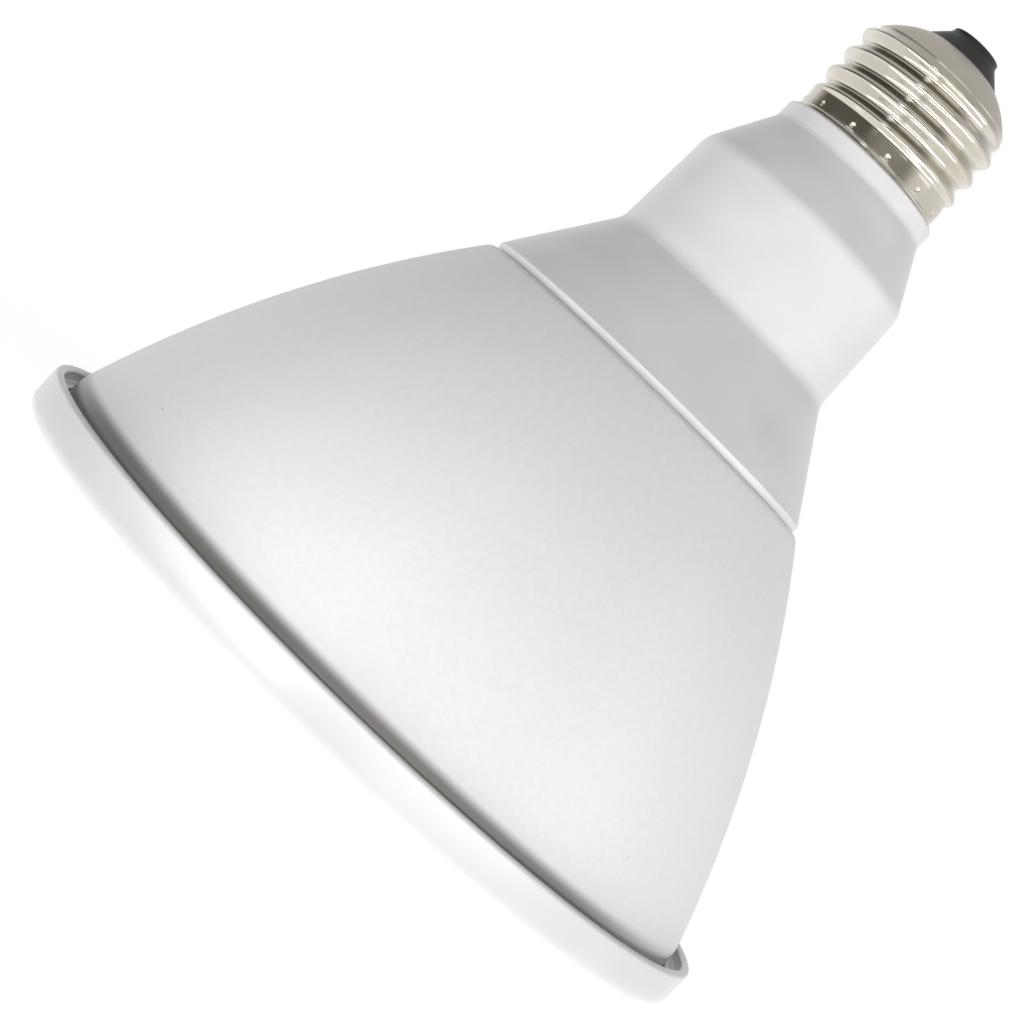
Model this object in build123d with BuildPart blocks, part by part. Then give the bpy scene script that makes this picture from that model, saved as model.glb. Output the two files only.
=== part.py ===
"""LED spotlight lamp in the PAR38 size with a medium screw base.

Millimetres, +Z up. The lamp stands on its front ring with the base up: the origin is the centre
of the ring's flat front land, and +Z runs along the lamp's axis to the centre contact.
"""

import math
import os

from build123d import *

os.makedirs("parts", exist_ok=True)

# Fits
seat_gap = 0.3
slide_gap = 0.2
snap_play = 0.1

# Front ring
ring_d = 121.8
ring_height = 7.35
ring_edge_radius = 3.0
ring_lip_wall = 1.4
ring_front_width = 6.4
ring_opening_bevel = 0.6
ring_flange = 1.0
ring_ledge = 1.0

# Front lens
lens_thickness = 1.6
lens_recess = 0.4

# Reflector
reflector_rim = 0.8
reflector_wall = 1.2
reflector_gap = 0.5
reflector_mouth_d = 26.0
reflector_curve_radius = 110.0

# Bowl
bowl_lip_gap = 2.0
bowl_flange = 1.0
bowl_flange_reach = 1.1
bowl_band = 3.35
bowl_band_radius = 8.0
bowl_length = 53.0
bowl_curve_radius = 174.0
bowl_seam_d = 59.2
bowl_edge_radius = 1.8
bowl_wall = 1.5

# Heat spreader and its screws
spreader_thickness = 3.0
spreader_depth = 8.6
screw_count = 3
screw_circle_d = 42.0
screw_d = 2.6
screw_length = 12.0
screw_head_d = 5.4
screw_head_height = 2.0

# LED board
led_board_gap = 1.3
led_board_thickness = 1.6
led_count = 8
led_circle_d = 18.0
led_side = 3.5
led_height = 0.8
connector_width = 7.0
connector_depth = 4.5
connector_height = 3.0
pin_side = 0.8
pin_pitch = 4.0
pin_hole_margin = 0.6

# Neck housing
neck_wall = 2.0
neck_rim_height = 1.05
neck_rim_inset = 0.9
neck_spigot = 4.6
cone_length = 14.45
barrel_low_d = 38.3
barrel_draft = 0.65
barrel_length = 16.1
taper_length = 9.1
collar_reach = 1.0
collar_height = 2.85
collar_edge_radius = 0.5
cap_seat_length = 3.0
cap_spigot_length = 11.0
post_d = 6.4
post_rise = 6.4
rail_wall = 1.5
rail_grip = 2.0

# Driver board and what it carries
board_thickness = 1.6
board_length = 32.0
board_edge_gap = 0.8
board_top_gap = 1.0
core_width = 16.0
core_length = 14.0
core_thickness = 5.0
core_limb = 2.6
core_lift = 3.0
winding_height = 11.0
transformer_gap = 0.9
bulk_d = 10.0
bulk_gap = 1.5
bulk_side = 6.5
output_d = 8.0
output_length = 8.0
output_side = 7.0
film_width = 12.0
film_length = 8.0
film_height = 6.0
film_rise = 24.0
choke_d = 9.0
choke_height = 7.0
choke_gap = 0.7
choke_inset = 8.05
rectifier_width = 6.5
rectifier_length = 5.0
rectifier_height = 2.4
rectifier_rise = 14.0
chip_width = 5.0
chip_length = 4.0
chip_height = 1.6
chip_rise = 5.0
part_side = 7.0
transistor_width = 6.6
transistor_length = 6.0
transistor_height = 2.3
transistor_rise = 3.8
fuse_d = 3.4
fuse_length = 9.0
fuse_inset = 6.05
lead_d = 1.4
lead_lap = 4.5
lead_gap = 0.5
neutral_side = 6.0
lead_bend = 2.0

# Screw base
thread_d = 25.8
thread_depth = 1.07
thread_pitch = 3.629
thread_turns = 3.6
thread_fade = 0.5
thread_start_angle = 143.0
sections_per_turn = 10
shell_wall = 0.3
skirt_length = 2.9
skirt_drop = 0.4
shoulder_drop = 1.2
shoulder_height = 3.9
shoulder_curve_radius = 14.0
mouth_d = 13.2
nose_cone_height = 2.7
nose_d = 8.0
nose_height = 0.7
nose_edge_radius = 0.5
contact_d = 5.0
contact_seat = 0.8
contact_rise = 0.4
contact_shank_d = 3.0
contact_tail = 2.0

# Heights up the axis
lens_back = ring_flange + lens_thickness
reflector_back = lens_back + reflector_rim
flange_top = reflector_back + bowl_flange
ledge_low = flange_top + snap_play
ledge_top = ledge_low + ring_ledge
curve_low = flange_top + bowl_band
seam = curve_low + bowl_length
spreader_top = seam - spreader_depth
spreader_low = spreader_top - spreader_thickness
led_board_low = spreader_low - led_board_thickness
spigot_low = seam - neck_spigot
cone_low = seam + neck_rim_height
post_top = cone_low + post_rise
barrel_low = cone_low + cone_length
barrel_top = barrel_low + barrel_length
collar_low = barrel_top + taper_length
collar_top = collar_low + collar_height
cap_spigot_top = collar_top + cap_spigot_length
thread_low = collar_top + skirt_length
thread_top = thread_low + thread_turns * thread_pitch
shell_top = thread_top + shoulder_height
nose_low = shell_top + nose_cone_height
nose_top = nose_low + nose_height
board_top = barrel_top - board_top_gap
board_low = board_top - board_length

# Radii that two pieces share
ring_r = ring_d / 2
lip_r = ring_r - ring_lip_wall
opening_r = ring_r - ring_front_width
bowl_rim_r = lip_r - bowl_lip_gap
bowl_seam_r = bowl_seam_d / 2
flange_r = bowl_rim_r + bowl_flange_reach
ring_bore_r = flange_r + seat_gap
reflector_front_r = bowl_rim_r - bowl_wall - reflector_gap - reflector_wall
neck_rim_r = bowl_seam_r - neck_rim_inset
barrel_low_r = barrel_low_d / 2
barrel_top_r = barrel_low_r - barrel_draft
thread_r = thread_d / 2
shell_bore_r = thread_r - thread_depth - shell_wall
cap_spigot_r = shell_bore_r - seat_gap
skirt_r = thread_r - skirt_drop
cap_seat_r = skirt_r - shell_wall - seat_gap
shoulder_r = thread_r - shoulder_drop
mouth_r = mouth_d / 2
screw_spots = PolarLocations(screw_circle_d / 2, screw_count, start_angle=90)

# The bowl's curve is one arc from the top of its plain band to the seam
curve_run = bowl_rim_r - bowl_seam_r
curve_chord = math.hypot(curve_run, bowl_length)
curve_leg = math.sqrt(bowl_curve_radius**2 - (curve_chord / 2) ** 2)
curve_centre_x = (bowl_rim_r + bowl_seam_r) / 2 - curve_leg * bowl_length / curve_chord
curve_centre_z = (curve_low + seam) / 2 - curve_leg * curve_run / curve_chord
curve_centre = (curve_centre_x, curve_centre_z)
bowl_seam_bore_r = curve_centre_x + math.sqrt(
    (bowl_curve_radius - bowl_wall) ** 2 - (seam - curve_centre_z) ** 2
)

# The driver board stands beside the axis, so that leads soldered to its +Y face run up the axis
board_y = -(board_thickness + lead_d) / 2
board_front = board_y + board_thickness / 2
board_back = board_y - board_thickness / 2
board_width = 2 * (barrel_top_r - neck_wall - board_edge_gap)
winding_length = core_length - 2 * (core_limb + seat_gap)
transformer_rise = lead_lap + transformer_gap + winding_length / 2
bulk_rise = transformer_rise + core_length / 2 + bulk_gap
bulk_length = board_length - lead_lap - lead_gap - bulk_rise
choke_rise = transistor_rise + transistor_length / 2 + choke_gap + choke_d / 2
choke_side = board_width / 2 - choke_inset
fuse_side = board_width / 2 - fuse_inset
front_plane = Plane(origin=(0, board_front, board_low), x_dir=(1, 0, 0), z_dir=(0, 1, 0))
back_plane = Plane(origin=(0, board_back, board_low), x_dir=(1, 0, 0), z_dir=(0, -1, 0))

# Front ring: flat land to stand on, a ledge that snaps over the bowl's flange, and a free rear lip
with BuildPart() as front_ring:
    with BuildSketch(Plane.XZ):
        with BuildLine():
            ledge_r = bowl_rim_r + seat_gap
            Polyline(
                (opening_r + ring_opening_bevel, 0),
                (ring_r, 0),
                (ring_r, ring_height),
                (lip_r, ring_height),
                (lip_r, ledge_top),
                (ledge_r, ledge_top),
                (ledge_r, ledge_low),
                (ring_bore_r, ledge_low),
                (ring_bore_r, ring_flange),
                (opening_r, ring_flange),
                (opening_r, ring_opening_bevel),
                close=True,
            )
        make_face()
    revolve(axis=Axis.Z)
    front_edge = front_ring.edges().filter_by(GeomType.CIRCLE).group_by(Axis.Z)[0]
    fillet(front_edge.sort_by(SortBy.RADIUS)[-1], radius=ring_edge_radius)

# Front lens: a stepped disc whose middle fills the ring's opening
with BuildPart() as front_lens:
    with BuildSketch(Plane.XY.offset(ring_flange)):
        Circle(flange_r)
    extrude(amount=lens_thickness)
    with BuildSketch(Plane.XY.offset(lens_recess)):
        Circle(opening_r - seat_gap)
    extrude(amount=ring_flange - lens_recess)

# Reflector: a curved cup from the LED board to a rim held between the lens and the bowl
with BuildPart() as reflector:
    with BuildSketch(Plane.XZ):
        with BuildLine():
            reflector_mouth_r = reflector_mouth_d / 2
            RadiusArc(
                (reflector_mouth_r, led_board_low),
                (reflector_front_r, lens_back),
                reflector_curve_radius,
            )
            Polyline(
                (reflector_front_r, lens_back),
                (flange_r, lens_back),
                (flange_r, reflector_back),
                (reflector_front_r + reflector_wall, reflector_back),
            )
            RadiusArc(
                (reflector_mouth_r + reflector_wall, led_board_low),
                (reflector_front_r + reflector_wall, reflector_back),
                reflector_curve_radius,
            )
            Line(
                (reflector_mouth_r + reflector_wall, led_board_low),
                (reflector_mouth_r, led_board_low),
            )
        make_face()
    revolve(axis=Axis.Z)

# Bowl: a flange, a plain band and one long curve up to a rounded edge at the neck, all of one wall
with BuildSketch(Plane.XZ, mode=Mode.PRIVATE) as bowl_inside:
    with Locations(curve_centre):
        Circle(bowl_curve_radius - bowl_wall)
    with Locations((0, reflector_back)):
        Rectangle(
            bowl_rim_r - bowl_wall,
            seam - reflector_back,
            align=(Align.MIN, Align.MIN),
            mode=Mode.INTERSECT,
        )
with BuildPart() as bowl_shell:
    with BuildSketch(Plane.XZ) as bowl_section:
        with Locations(curve_centre):
            Circle(bowl_curve_radius)
        with Locations((0, reflector_back)):
            Rectangle(
                bowl_rim_r,
                seam - reflector_back,
                align=(Align.MIN, Align.MIN),
                mode=Mode.INTERSECT,
            )
        band_corners = bowl_section.vertices().group_by(Axis.X)[-1]
        fillet(band_corners.sort_by(Axis.Y)[-1], radius=bowl_band_radius)
        seam_corners = bowl_section.vertices().group_by(Axis.Y)[-1]
        fillet(seam_corners.sort_by(Axis.X)[-1], radius=bowl_edge_radius)
        with Locations((0, reflector_back)):
            Rectangle(flange_r, bowl_flange, align=(Align.MIN, Align.MIN))
        add(bowl_inside.sketch, mode=Mode.SUBTRACT)
    revolve(axis=Axis.Z)

# Heat spreader: a plate seated in the curve of the bowl, drawn against the posts of the neck
with BuildPart() as heat_spreader:
    with BuildSketch(Plane.XZ):
        with Locations(curve_centre):
            Circle(bowl_curve_radius - bowl_wall - seat_gap)
        with Locations((0, spreader_low)):
            Rectangle(
                bowl_rim_r,
                spreader_thickness,
                align=(Align.MIN, Align.MIN),
                mode=Mode.INTERSECT,
            )
    revolve(axis=Axis.Z)
    with BuildSketch(Plane.XY.offset(spreader_low)):
        with screw_spots:
            Circle(screw_d / 2 + seat_gap)
        Rectangle(connector_width, connector_depth)
    extrude(amount=spreader_thickness, mode=Mode.SUBTRACT)

# Three screws from the front of the spreader into the posts of the neck
with BuildPart() as spreader_screws:
    with BuildSketch(Plane.XY.offset(spreader_low - screw_head_height)):
        with screw_spots:
            Circle(screw_head_d / 2)
    extrude(amount=screw_head_height)
    with BuildSketch(Plane.XY.offset(spreader_low)):
        with screw_spots:
            Circle(screw_d / 2)
    extrude(amount=screw_length)

# LED board: a metal-core disc, clear of the screw heads, with a slot for the driver's pins
with BuildPart() as led_board:
    led_board_r = (screw_circle_d - screw_head_d) / 2 - led_board_gap
    with BuildSketch(Plane.XY.offset(led_board_low)):
        Circle(led_board_r)
        Rectangle(
            pin_pitch + pin_side + 2 * pin_hole_margin,
            pin_side + 2 * pin_hole_margin,
            mode=Mode.SUBTRACT,
        )
    extrude(amount=led_board_thickness)

# LED connector over the slot, on the front of the LED board
with BuildPart() as led_connector:
    with BuildSketch(Plane.XY.offset(led_board_low)):
        Rectangle(connector_width, connector_depth)
    extrude(amount=-connector_height)

# Two square pins from the driver board to the connector
with BuildPart() as led_pins:
    with BuildSketch(Plane.XY.offset(led_board_low)):
        with GridLocations(pin_pitch, 0, 2, 1):
            Rectangle(pin_side, pin_side)
    extrude(amount=board_low + lead_lap - led_board_low)

# Hollow of the neck, cut round its posts and the two rails that the driver board slides into, so
# that these grow out of the wall
with BuildPart() as neck_hollow:
    spigot_r = bowl_seam_bore_r - seat_gap
    with BuildSketch(Plane.XZ):
        with BuildLine():
            Polyline(
                (0, spigot_low),
                (spigot_r - neck_wall, spigot_low),
                (spigot_r - neck_wall, seam),
                (barrel_low_r - neck_wall, barrel_low),
                (barrel_top_r - neck_wall, barrel_top),
                (cap_spigot_r - neck_wall, collar_low),
                (cap_spigot_r - neck_wall, cap_spigot_top),
                (0, cap_spigot_top),
                close=True,
            )
        make_face()
    revolve(axis=Axis.Z)
    with BuildSketch(Plane.XY.offset(spigot_low)):
        with screw_spots:
            Circle(post_d / 2)
    extrude(amount=post_top - spigot_low, mode=Mode.SUBTRACT)
    rail_inner = board_width / 2 - rail_grip
    rail_outer = barrel_top_r - neck_wall / 2
    rail_width = board_thickness + 2 * (slide_gap + rail_wall)
    with BuildSketch(Plane.XY.offset(barrel_low)):
        with Locations((0, board_y)):
            with GridLocations(rail_inner + rail_outer, 0, 2, 1):
                Rectangle(rail_outer - rail_inner, rail_width)
    extrude(amount=barrel_length, mode=Mode.SUBTRACT)
    with BuildSketch(Plane.XY.offset(barrel_low)):
        with Locations((0, board_y)):
            Rectangle(board_width + 2 * slide_gap, board_thickness + 2 * slide_gap)
    extrude(amount=board_top - barrel_low)

# Neck housing: one moulding with the rim, two cones, the barrel, the collar and the cap spigot
with BuildPart() as neck_housing:
    collar_r = skirt_r + collar_reach
    with BuildSketch(Plane.XZ):
        with BuildLine():
            Polyline(
                (0, spigot_low),
                (spigot_r, spigot_low),
                (spigot_r, seam),
                (neck_rim_r, seam),
                (neck_rim_r, cone_low),
                (barrel_low_r, barrel_low),
                (barrel_top_r, barrel_top),
                (collar_r, collar_low),
                (collar_r, collar_top),
                (cap_seat_r, collar_top),
                (cap_seat_r, collar_top + cap_seat_length),
                (cap_spigot_r, collar_top + cap_seat_length),
                (cap_spigot_r, cap_spigot_top),
                (0, cap_spigot_top),
                close=True,
            )
        make_face()
    revolve(axis=Axis.Z)
    collar_edges = neck_housing.edges().filter_by(GeomType.CIRCLE)
    collar_edges = collar_edges.filter_by_position(Axis.Z, collar_top, collar_top)
    fillet(collar_edges.sort_by(SortBy.RADIUS)[-1], radius=collar_edge_radius)
    add(neck_hollow.part, mode=Mode.SUBTRACT)
    # the posts reach out of the spigot to the spreader, and its screws go up into them
    with BuildSketch(Plane.XY.offset(spreader_top)):
        with screw_spots:
            Circle(post_d / 2)
    extrude(amount=spigot_low - spreader_top)
    with BuildSketch(Plane.XY.offset(spreader_top)):
        with screw_spots:
            Circle(screw_d / 2 + seat_gap)
    extrude(amount=screw_length, mode=Mode.SUBTRACT)

# Driver board in the rails
with BuildPart() as driver_board:
    with BuildSketch(Plane.XY.offset(board_low)):
        with Locations((0, board_y)):
            Rectangle(board_width, board_thickness)
    extrude(amount=board_length)

# Transformer: a ferrite frame round the middle of a wound bobbin
with BuildPart() as transformer_winding:
    with BuildSketch(front_plane):
        with Locations((0, -transformer_rise)):
            Rectangle(core_width - 2 * (core_limb + seat_gap), winding_length)
    extrude(amount=winding_height)
with BuildPart() as transformer_core:
    with BuildSketch(front_plane.offset(core_lift)):
        with Locations((0, -transformer_rise)):
            Rectangle(core_width, core_length)
            Rectangle(
                core_width - 2 * core_limb,
                core_length - 2 * core_limb,
                mode=Mode.SUBTRACT,
            )
    extrude(amount=core_thickness)

# Two electrolytic capacitors lying on the front of the driver board
with BuildPart() as bulk_capacitor:
    with BuildSketch(Plane.XY.offset(board_low + bulk_rise)):
        with Locations((-bulk_side, board_front + bulk_d / 2)):
            Circle(bulk_d / 2)
    extrude(amount=bulk_length)
with BuildPart() as output_capacitor:
    with BuildSketch(Plane.XY.offset(board_low + bulk_rise)):
        with Locations((output_side, board_front + output_d / 2)):
            Circle(output_d / 2)
    extrude(amount=output_length)

# Parts on the back of the driver board
with BuildPart() as film_capacitor:
    with BuildSketch(back_plane):
        with Locations((0, film_rise)):
            Rectangle(film_width, film_length)
    extrude(amount=film_height)
with BuildPart() as line_choke:
    with BuildSketch(back_plane):
        with Locations((-choke_side, choke_rise)):
            Circle(choke_d / 2)
    extrude(amount=choke_height)
with BuildPart() as rectifier:
    with BuildSketch(back_plane):
        with Locations((part_side, rectifier_rise)):
            Rectangle(rectifier_width, rectifier_length)
    extrude(amount=rectifier_height)
with BuildPart() as control_chip:
    with BuildSketch(back_plane):
        with Locations((part_side, chip_rise)):
            Rectangle(chip_width, chip_length)
    extrude(amount=chip_height)
with BuildPart() as switch_transistor:
    with BuildSketch(back_plane):
        with Locations((-part_side, transistor_rise)):
            Rectangle(transistor_width, transistor_length)
    extrude(amount=transistor_height)
with BuildPart() as fuse_resistor:
    with BuildSketch(Plane.XY.offset(board_low + film_rise - fuse_length / 2)):
        with Locations((fuse_side, board_back - fuse_d / 2)):
            Circle(fuse_d / 2)
    extrude(amount=fuse_length)

# Screw shell: one rolled sheet with a skirt, a round Edison thread and a shoulder. Each level of the
# thread is a circle whose centre walks once round the axis per pitch, so both faces of the sheet
# swing out and in along a helix. The outside is made first and the same form, one wall in, is cut
with BuildPart() as screw_shell:
    level_count = round(thread_turns * sections_per_turn)
    for inset, mode in ((0, Mode.ADD), (shell_wall, Mode.SUBTRACT)):
        with BuildSketch(Plane.XY.offset(collar_top)):
            Circle(skirt_r - inset)
        extrude(amount=skirt_length, mode=mode)
        for level in range(level_count + 1):
            turn = thread_turns * level / level_count
            fade_in = min(turn / thread_fade, 1)
            fade_out = min((thread_turns - turn) / thread_fade, 1)
            rise_in = (1 - math.cos(math.pi * fade_in)) / 2
            rise_out = (1 - math.cos(math.pi * fade_out)) / 2
            swing = thread_depth / 2 * rise_in * rise_out
            drop = skirt_drop * (1 - rise_in) + shoulder_drop * (1 - rise_out)
            heading = math.radians(thread_start_angle + 360 * turn)
            with BuildSketch(Plane.XY.offset(thread_low + turn * thread_pitch)):
                with Locations((swing * math.cos(heading), swing * math.sin(heading))):
                    Circle(thread_r - swing - drop - inset)
        loft(ruled=True, mode=mode)
        with BuildSketch(Plane.XZ):
            with BuildLine():
                RadiusArc(
                    (mouth_r, shell_top - inset),
                    (shoulder_r - inset, thread_top),
                    shoulder_curve_radius,
                )
                Polyline(
                    (shoulder_r - inset, thread_top),
                    (0, thread_top),
                    (0, shell_top - inset),
                    (mouth_r, shell_top - inset),
                )
            make_face()
        revolve(axis=Axis.Z, mode=mode)
    with BuildSketch(Plane.XY.offset(shell_top - shell_wall)):
        Circle(mouth_r)
    extrude(amount=shell_wall, mode=Mode.SUBTRACT)

# Base insulator: fills the shoulder of the shell from inside and ends in a blunt nose
with BuildPart() as base_insulator:
    with BuildSketch(Plane.XZ):
        with BuildLine():
            Polyline(
                (0, thread_top),
                (shell_bore_r - seat_gap, thread_top),
                (mouth_r - seat_gap, shell_top - shell_wall),
                (mouth_r - seat_gap, shell_top),
                (mouth_r, shell_top),
                (nose_d / 2, nose_low),
                (nose_d / 2, nose_top),
                (0, nose_top),
                close=True,
            )
        make_face()
    revolve(axis=Axis.Z)
    nose_edges = base_insulator.edges().filter_by(GeomType.CIRCLE).group_by(Axis.Z)[-1]
    fillet(nose_edges, radius=nose_edge_radius)
    with BuildSketch(Plane.XY.offset(nose_top)):
        Circle(contact_d / 2 + seat_gap)
    extrude(amount=-contact_seat, mode=Mode.SUBTRACT)
    with BuildSketch(Plane.XY.offset(thread_top)):
        Circle(contact_shank_d / 2 + seat_gap)
    extrude(amount=nose_top - thread_top, mode=Mode.SUBTRACT)

# Centre contact: a rivet with a low domed head in the end of the nose
with BuildPart() as centre_contact:
    with BuildSketch(Plane.XZ):
        with BuildLine():
            contact_r = contact_d / 2
            shank_r = contact_shank_d / 2
            dome_r = (contact_r**2 + contact_rise**2) / (2 * contact_rise)
            RadiusArc((0, nose_top + contact_rise), (contact_r, nose_top), dome_r)
            Polyline(
                (contact_r, nose_top),
                (contact_r, nose_top - contact_seat),
                (shank_r, nose_top - contact_seat),
                (shank_r, thread_top - contact_tail),
                (0, thread_top - contact_tail),
                (0, nose_top + contact_rise),
            )
        make_face()
    revolve(axis=Axis.Z)

# Leads from the driver board: live straight up to the contact, neutral over the spigot to the shell
with BuildPart() as live_lead:
    with BuildSketch(Plane.XY.offset(board_top - lead_lap)):
        Circle(lead_d / 2)
    extrude(amount=thread_top - contact_tail - board_top + lead_lap)
with BuildPart() as neutral_lead:
    with BuildLine() as neutral_route:
        crossing = cap_spigot_top + seat_gap + lead_d / 2
        FilletPolyline(
            (-neutral_side, 0, board_top - lead_lap),
            (-neutral_side, 0, crossing),
            (-(shell_bore_r - seat_gap), 0, crossing),
            radius=lead_bend,
        )
    with BuildSketch(Plane.XY.offset(board_top - lead_lap)):
        with Locations((-neutral_side, 0)):
            Circle(lead_d / 2)
    sweep(path=neutral_route.line)

pieces = {
    "front_ring": front_ring.part,
    "front_lens": front_lens.part,
    "reflector": reflector.part,
    "bowl_shell": bowl_shell.part,
    "heat_spreader": heat_spreader.part,
    "spreader_screws": spreader_screws.part,
    "led_board": led_board.part,
    "led_connector": led_connector.part,
    "led_pins": led_pins.part,
    "neck_housing": neck_housing.part,
    "driver_board": driver_board.part,
    "transformer_winding": transformer_winding.part,
    "transformer_core": transformer_core.part,
    "bulk_capacitor": bulk_capacitor.part,
    "output_capacitor": output_capacitor.part,
    "film_capacitor": film_capacitor.part,
    "line_choke": line_choke.part,
    "rectifier": rectifier.part,
    "control_chip": control_chip.part,
    "switch_transistor": switch_transistor.part,
    "fuse_resistor": fuse_resistor.part,
    "screw_shell": screw_shell.part,
    "base_insulator": base_insulator.part,
    "centre_contact": centre_contact.part,
    "live_lead": live_lead.part,
    "neutral_lead": neutral_lead.part,
}

# LED packages in a ring on the front of the LED board, each its own piece
for number, spot in enumerate(PolarLocations(led_circle_d / 2, led_count), start=1):
    with BuildPart() as led:
        with BuildSketch(Plane.XY.offset(led_board_low)):
            with Locations(spot):
                Rectangle(led_side, led_side)
        extrude(amount=-led_height)
    pieces[f"led_{number}"] = led.part

for name, piece in pieces.items():
    piece.label = name
    export_step(piece, f"parts/{name}.step")
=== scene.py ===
import math

import bmesh
import bpy
from mathutils import Matrix, Vector


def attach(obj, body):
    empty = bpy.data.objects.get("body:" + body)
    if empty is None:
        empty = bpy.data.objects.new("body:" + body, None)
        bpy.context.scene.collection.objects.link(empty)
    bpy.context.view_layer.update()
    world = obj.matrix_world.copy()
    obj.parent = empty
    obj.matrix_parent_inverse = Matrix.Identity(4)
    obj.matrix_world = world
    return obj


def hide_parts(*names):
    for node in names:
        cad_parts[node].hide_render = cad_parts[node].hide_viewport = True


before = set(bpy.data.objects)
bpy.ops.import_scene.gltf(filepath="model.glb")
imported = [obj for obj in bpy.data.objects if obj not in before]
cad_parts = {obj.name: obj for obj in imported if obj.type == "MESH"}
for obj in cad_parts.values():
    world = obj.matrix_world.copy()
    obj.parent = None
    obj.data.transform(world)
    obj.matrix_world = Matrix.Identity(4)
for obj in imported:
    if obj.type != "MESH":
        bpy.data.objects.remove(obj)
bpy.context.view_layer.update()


# Front ring: the white bezel that clamps the lens and the bowl's flange together. It is moulded in
# one piece and snapped over the flange from the front, and its thin rear lip stands clear of the bowl.
MM = 0.001


def draw_run(bm, corners, closed=False):
    """Draws straight runs on the XZ plane through corners (radius, height, rounding) in millimetres."""
    verts = [bm.verts.new((radius * MM, 0, height * MM)) for radius, height, rounding in corners]
    for start, end in zip(verts, verts[1:] + verts[:1] if closed else verts[1:]):
        bm.edges.new((start, end))
    for vert, (radius, height, rounding) in zip(verts, corners):
        if rounding:
            round_corner(bm, vert, rounding)


def round_corner(bm, vert, rounding):
    """Rounds one corner of a drawn section, from a distance in millimetres along both its sides."""
    bmesh.ops.bevel(
        bm,
        geom=[vert],
        offset=rounding * MM,
        affect="VERTICES",
        segments=8,
        profile=0.5,
        material=-1,
    )


def turn_section(bm, steps=192):
    """Spins the drawn section once round the lamp's axis into one skin."""
    touching = 0.001 * MM
    bmesh.ops.remove_doubles(bm, verts=bm.verts[:], dist=touching)
    bmesh.ops.spin(
        bm,
        geom=bm.verts[:] + bm.edges[:],
        cent=(0, 0, 0),
        axis=(0, 0, 1),
        angle=math.tau,
        steps=steps,
        use_merge=True,
    )
    bmesh.ops.remove_doubles(bm, verts=bm.verts[:], dist=touching)
    bmesh.ops.recalc_face_normals(bm, faces=bm.faces[:])


def make_piece(bm, name, *finishes):
    """Makes a bmesh a piece of the lamp, smooth except across its sharp corners."""
    mesh = bpy.data.meshes.new(name)
    bm.to_mesh(mesh)
    bm.free()
    mesh.shade_smooth()
    mesh.set_sharp_from_angle(angle=math.radians(32))
    for finish in finishes:
        mesh.materials.append(finish)
    piece = bpy.data.objects.new(name, mesh)
    bpy.context.scene.collection.objects.link(piece)
    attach(piece, "root")
    return piece


def linear(hex_colour):
    """Linear RGBA of an sRGB hex colour."""
    parts = [int(hex_colour[i : i + 2], 16) / 255 for i in (1, 3, 5)]
    return [p / 12.92 if p <= 0.04045 else ((p + 0.055) / 1.055) ** 2.4 for p in parts] + [1]


def add_node(tree, kind, settings, inputs, outputs):
    """Adds a node: its settings, its inputs as values or sockets, and the sockets its outputs feed."""
    node = tree.nodes.new(kind)
    for name, value in settings.items():
        setattr(node, name, value)
    for socket, value in inputs.items():
        if isinstance(value, bpy.types.NodeSocket):
            tree.links.new(value, node.inputs[socket])
        else:
            node.inputs[socket].default_value = value
    for socket, target in outputs.items():
        tree.links.new(node.outputs[socket], target)
    return node


def clouded_finish(name, dark, light, grain, roughness, **sockets):
    """A finish whose colour and roughness drift together over a grain size in millimetres."""
    finish = bpy.data.materials.new(name)
    finish.use_nodes = True
    tree = finish.node_tree
    shader = tree.nodes["Principled BSDF"]
    for socket, value in sockets.items():
        shader.inputs[socket.replace("_", " ")].default_value = value
    place = add_node(tree, "ShaderNodeTexCoord", {"name": "place"}, {}, {})
    cloud = add_node(
        tree,
        "ShaderNodeTexNoise",
        {"name": "cloud"},
        {"Vector": place.outputs["Object"], "Scale": 1 / (grain * MM), "Detail": 3},
        {},
    )
    tint = add_node(
        tree,
        "ShaderNodeValToRGB",
        {"name": "tint"},
        {"Fac": cloud.outputs["Fac"]},
        {"Color": shader.inputs["Base Color"]},
    )
    cloud_low, cloud_high = 0.35, 0.65
    tint.color_ramp.interpolation = "EASE"
    tint.color_ramp.elements[0].position = cloud_low
    tint.color_ramp.elements[0].color = linear(dark)
    tint.color_ramp.elements[1].position = cloud_high
    tint.color_ramp.elements[1].color = linear(light)
    add_node(
        tree,
        "ShaderNodeMapRange",
        {"name": "shine", "interpolation_type": "SMOOTHSTEP"},
        {
            "Value": cloud.outputs["Fac"],
            "From Min": cloud_low,
            "From Max": cloud_high,
            "To Min": roughness[0],
            "To Max": roughness[1],
        },
        {"Result": shader.inputs["Roughness"]},
    )
    return finish


def ripple_surface(finish, width, detail, strength, depth):
    """Adds shallow waves to a finish, with their width and depth in millimetres."""
    tree = finish.node_tree
    waves = add_node(
        tree,
        "ShaderNodeTexNoise",
        {},
        {"Vector": tree.nodes["place"].outputs["Object"], "Scale": 1 / (width * MM), "Detail": detail},
        {},
    )
    add_node(
        tree,
        "ShaderNodeBump",
        {},
        {"Height": waves.outputs["Fac"], "Strength": strength, "Distance": depth * MM},
        {"Normal": tree.nodes["Principled BSDF"].inputs["Normal"]},
    )


# Gloss-moulded polycarbonate: clean white with a hard, even shine. Flow in the mould clouds the white
# very faintly, and a very shallow ripple, 4 mm across, softens what it reflects.
ring_plastic = clouded_finish(
    "gloss_moulded_white_polycarbonate", "#D9D9DB", "#DBDBDD", grain=12, roughness=(0.239, 0.241), IOR=1.58
)
ripple_surface(ring_plastic, width=4, detail=1, strength=0.03, depth=0.05)

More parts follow.
